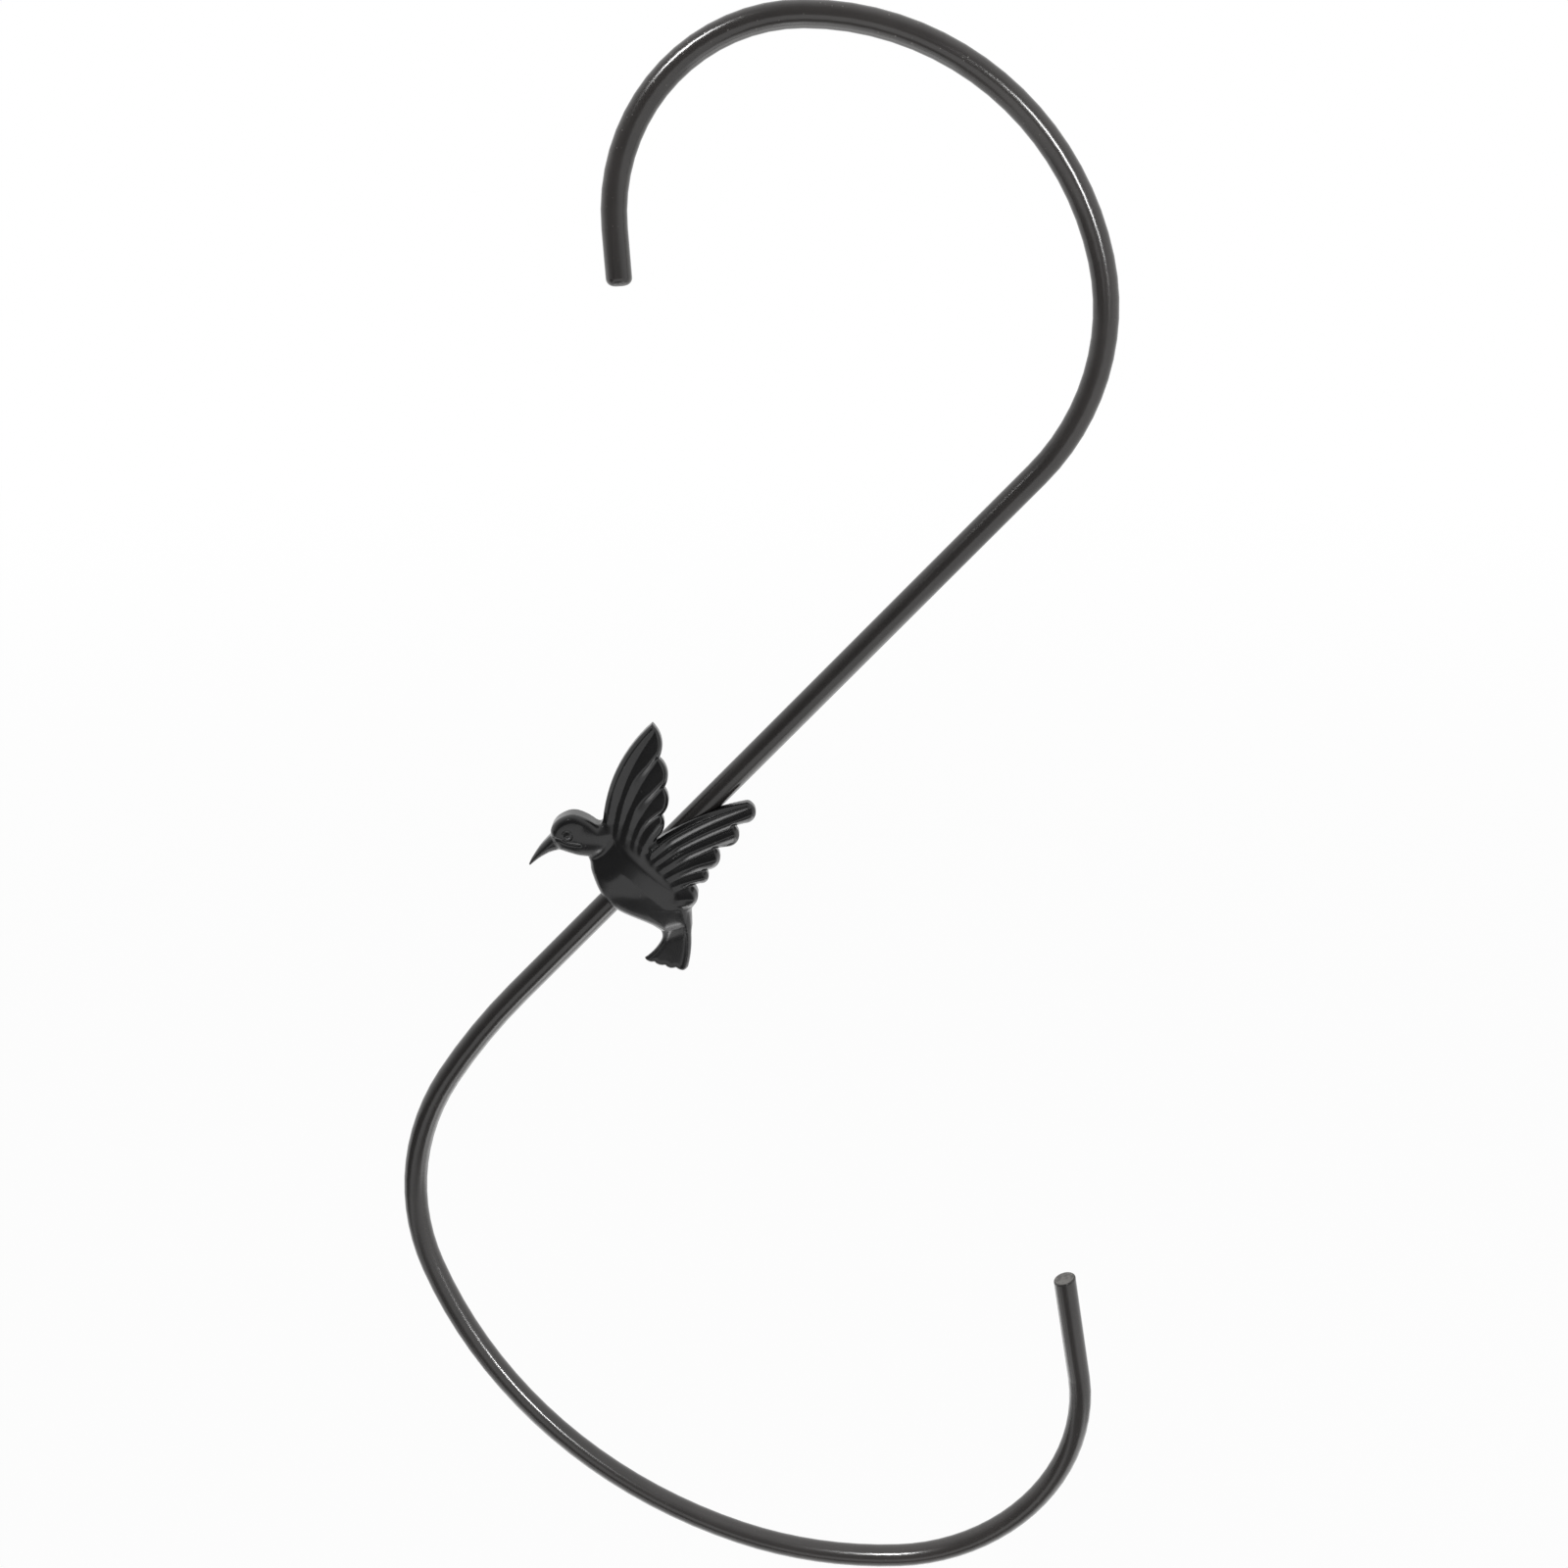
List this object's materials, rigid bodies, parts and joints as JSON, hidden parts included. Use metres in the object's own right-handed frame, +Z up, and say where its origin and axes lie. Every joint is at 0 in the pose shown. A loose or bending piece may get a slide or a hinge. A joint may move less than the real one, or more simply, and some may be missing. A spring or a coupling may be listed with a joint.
{
  "type": "plant hanging s-hook",
  "caption": "Black steel S-hook with a cast hummingbird on its straight shank, for hanging plants and feeders.",
  "frame": {"origin": "seat of the upper hook: the inner side of the rod at its crown", "axes": "+Z up along the hook, +X across it towards the side that the shank rises to, and -Y out of its front, where the hummingbird is"},
  "size_m": [0.1358, 0.0088, 0.304],
  "materials": {
    "rod_coating": "semi-gloss black powder coat on steel rod",
    "casting_coating": "gloss black coat on a metal casting",
    "weld_coating": "semi-gloss black coat over weld beads"
  },
  "bodies": {
    "root": {"hook_rod": "rod_coating", "hummingbird": "casting_coating", "weld_beads": "weld_coating"}
  },
  "joints": []
}
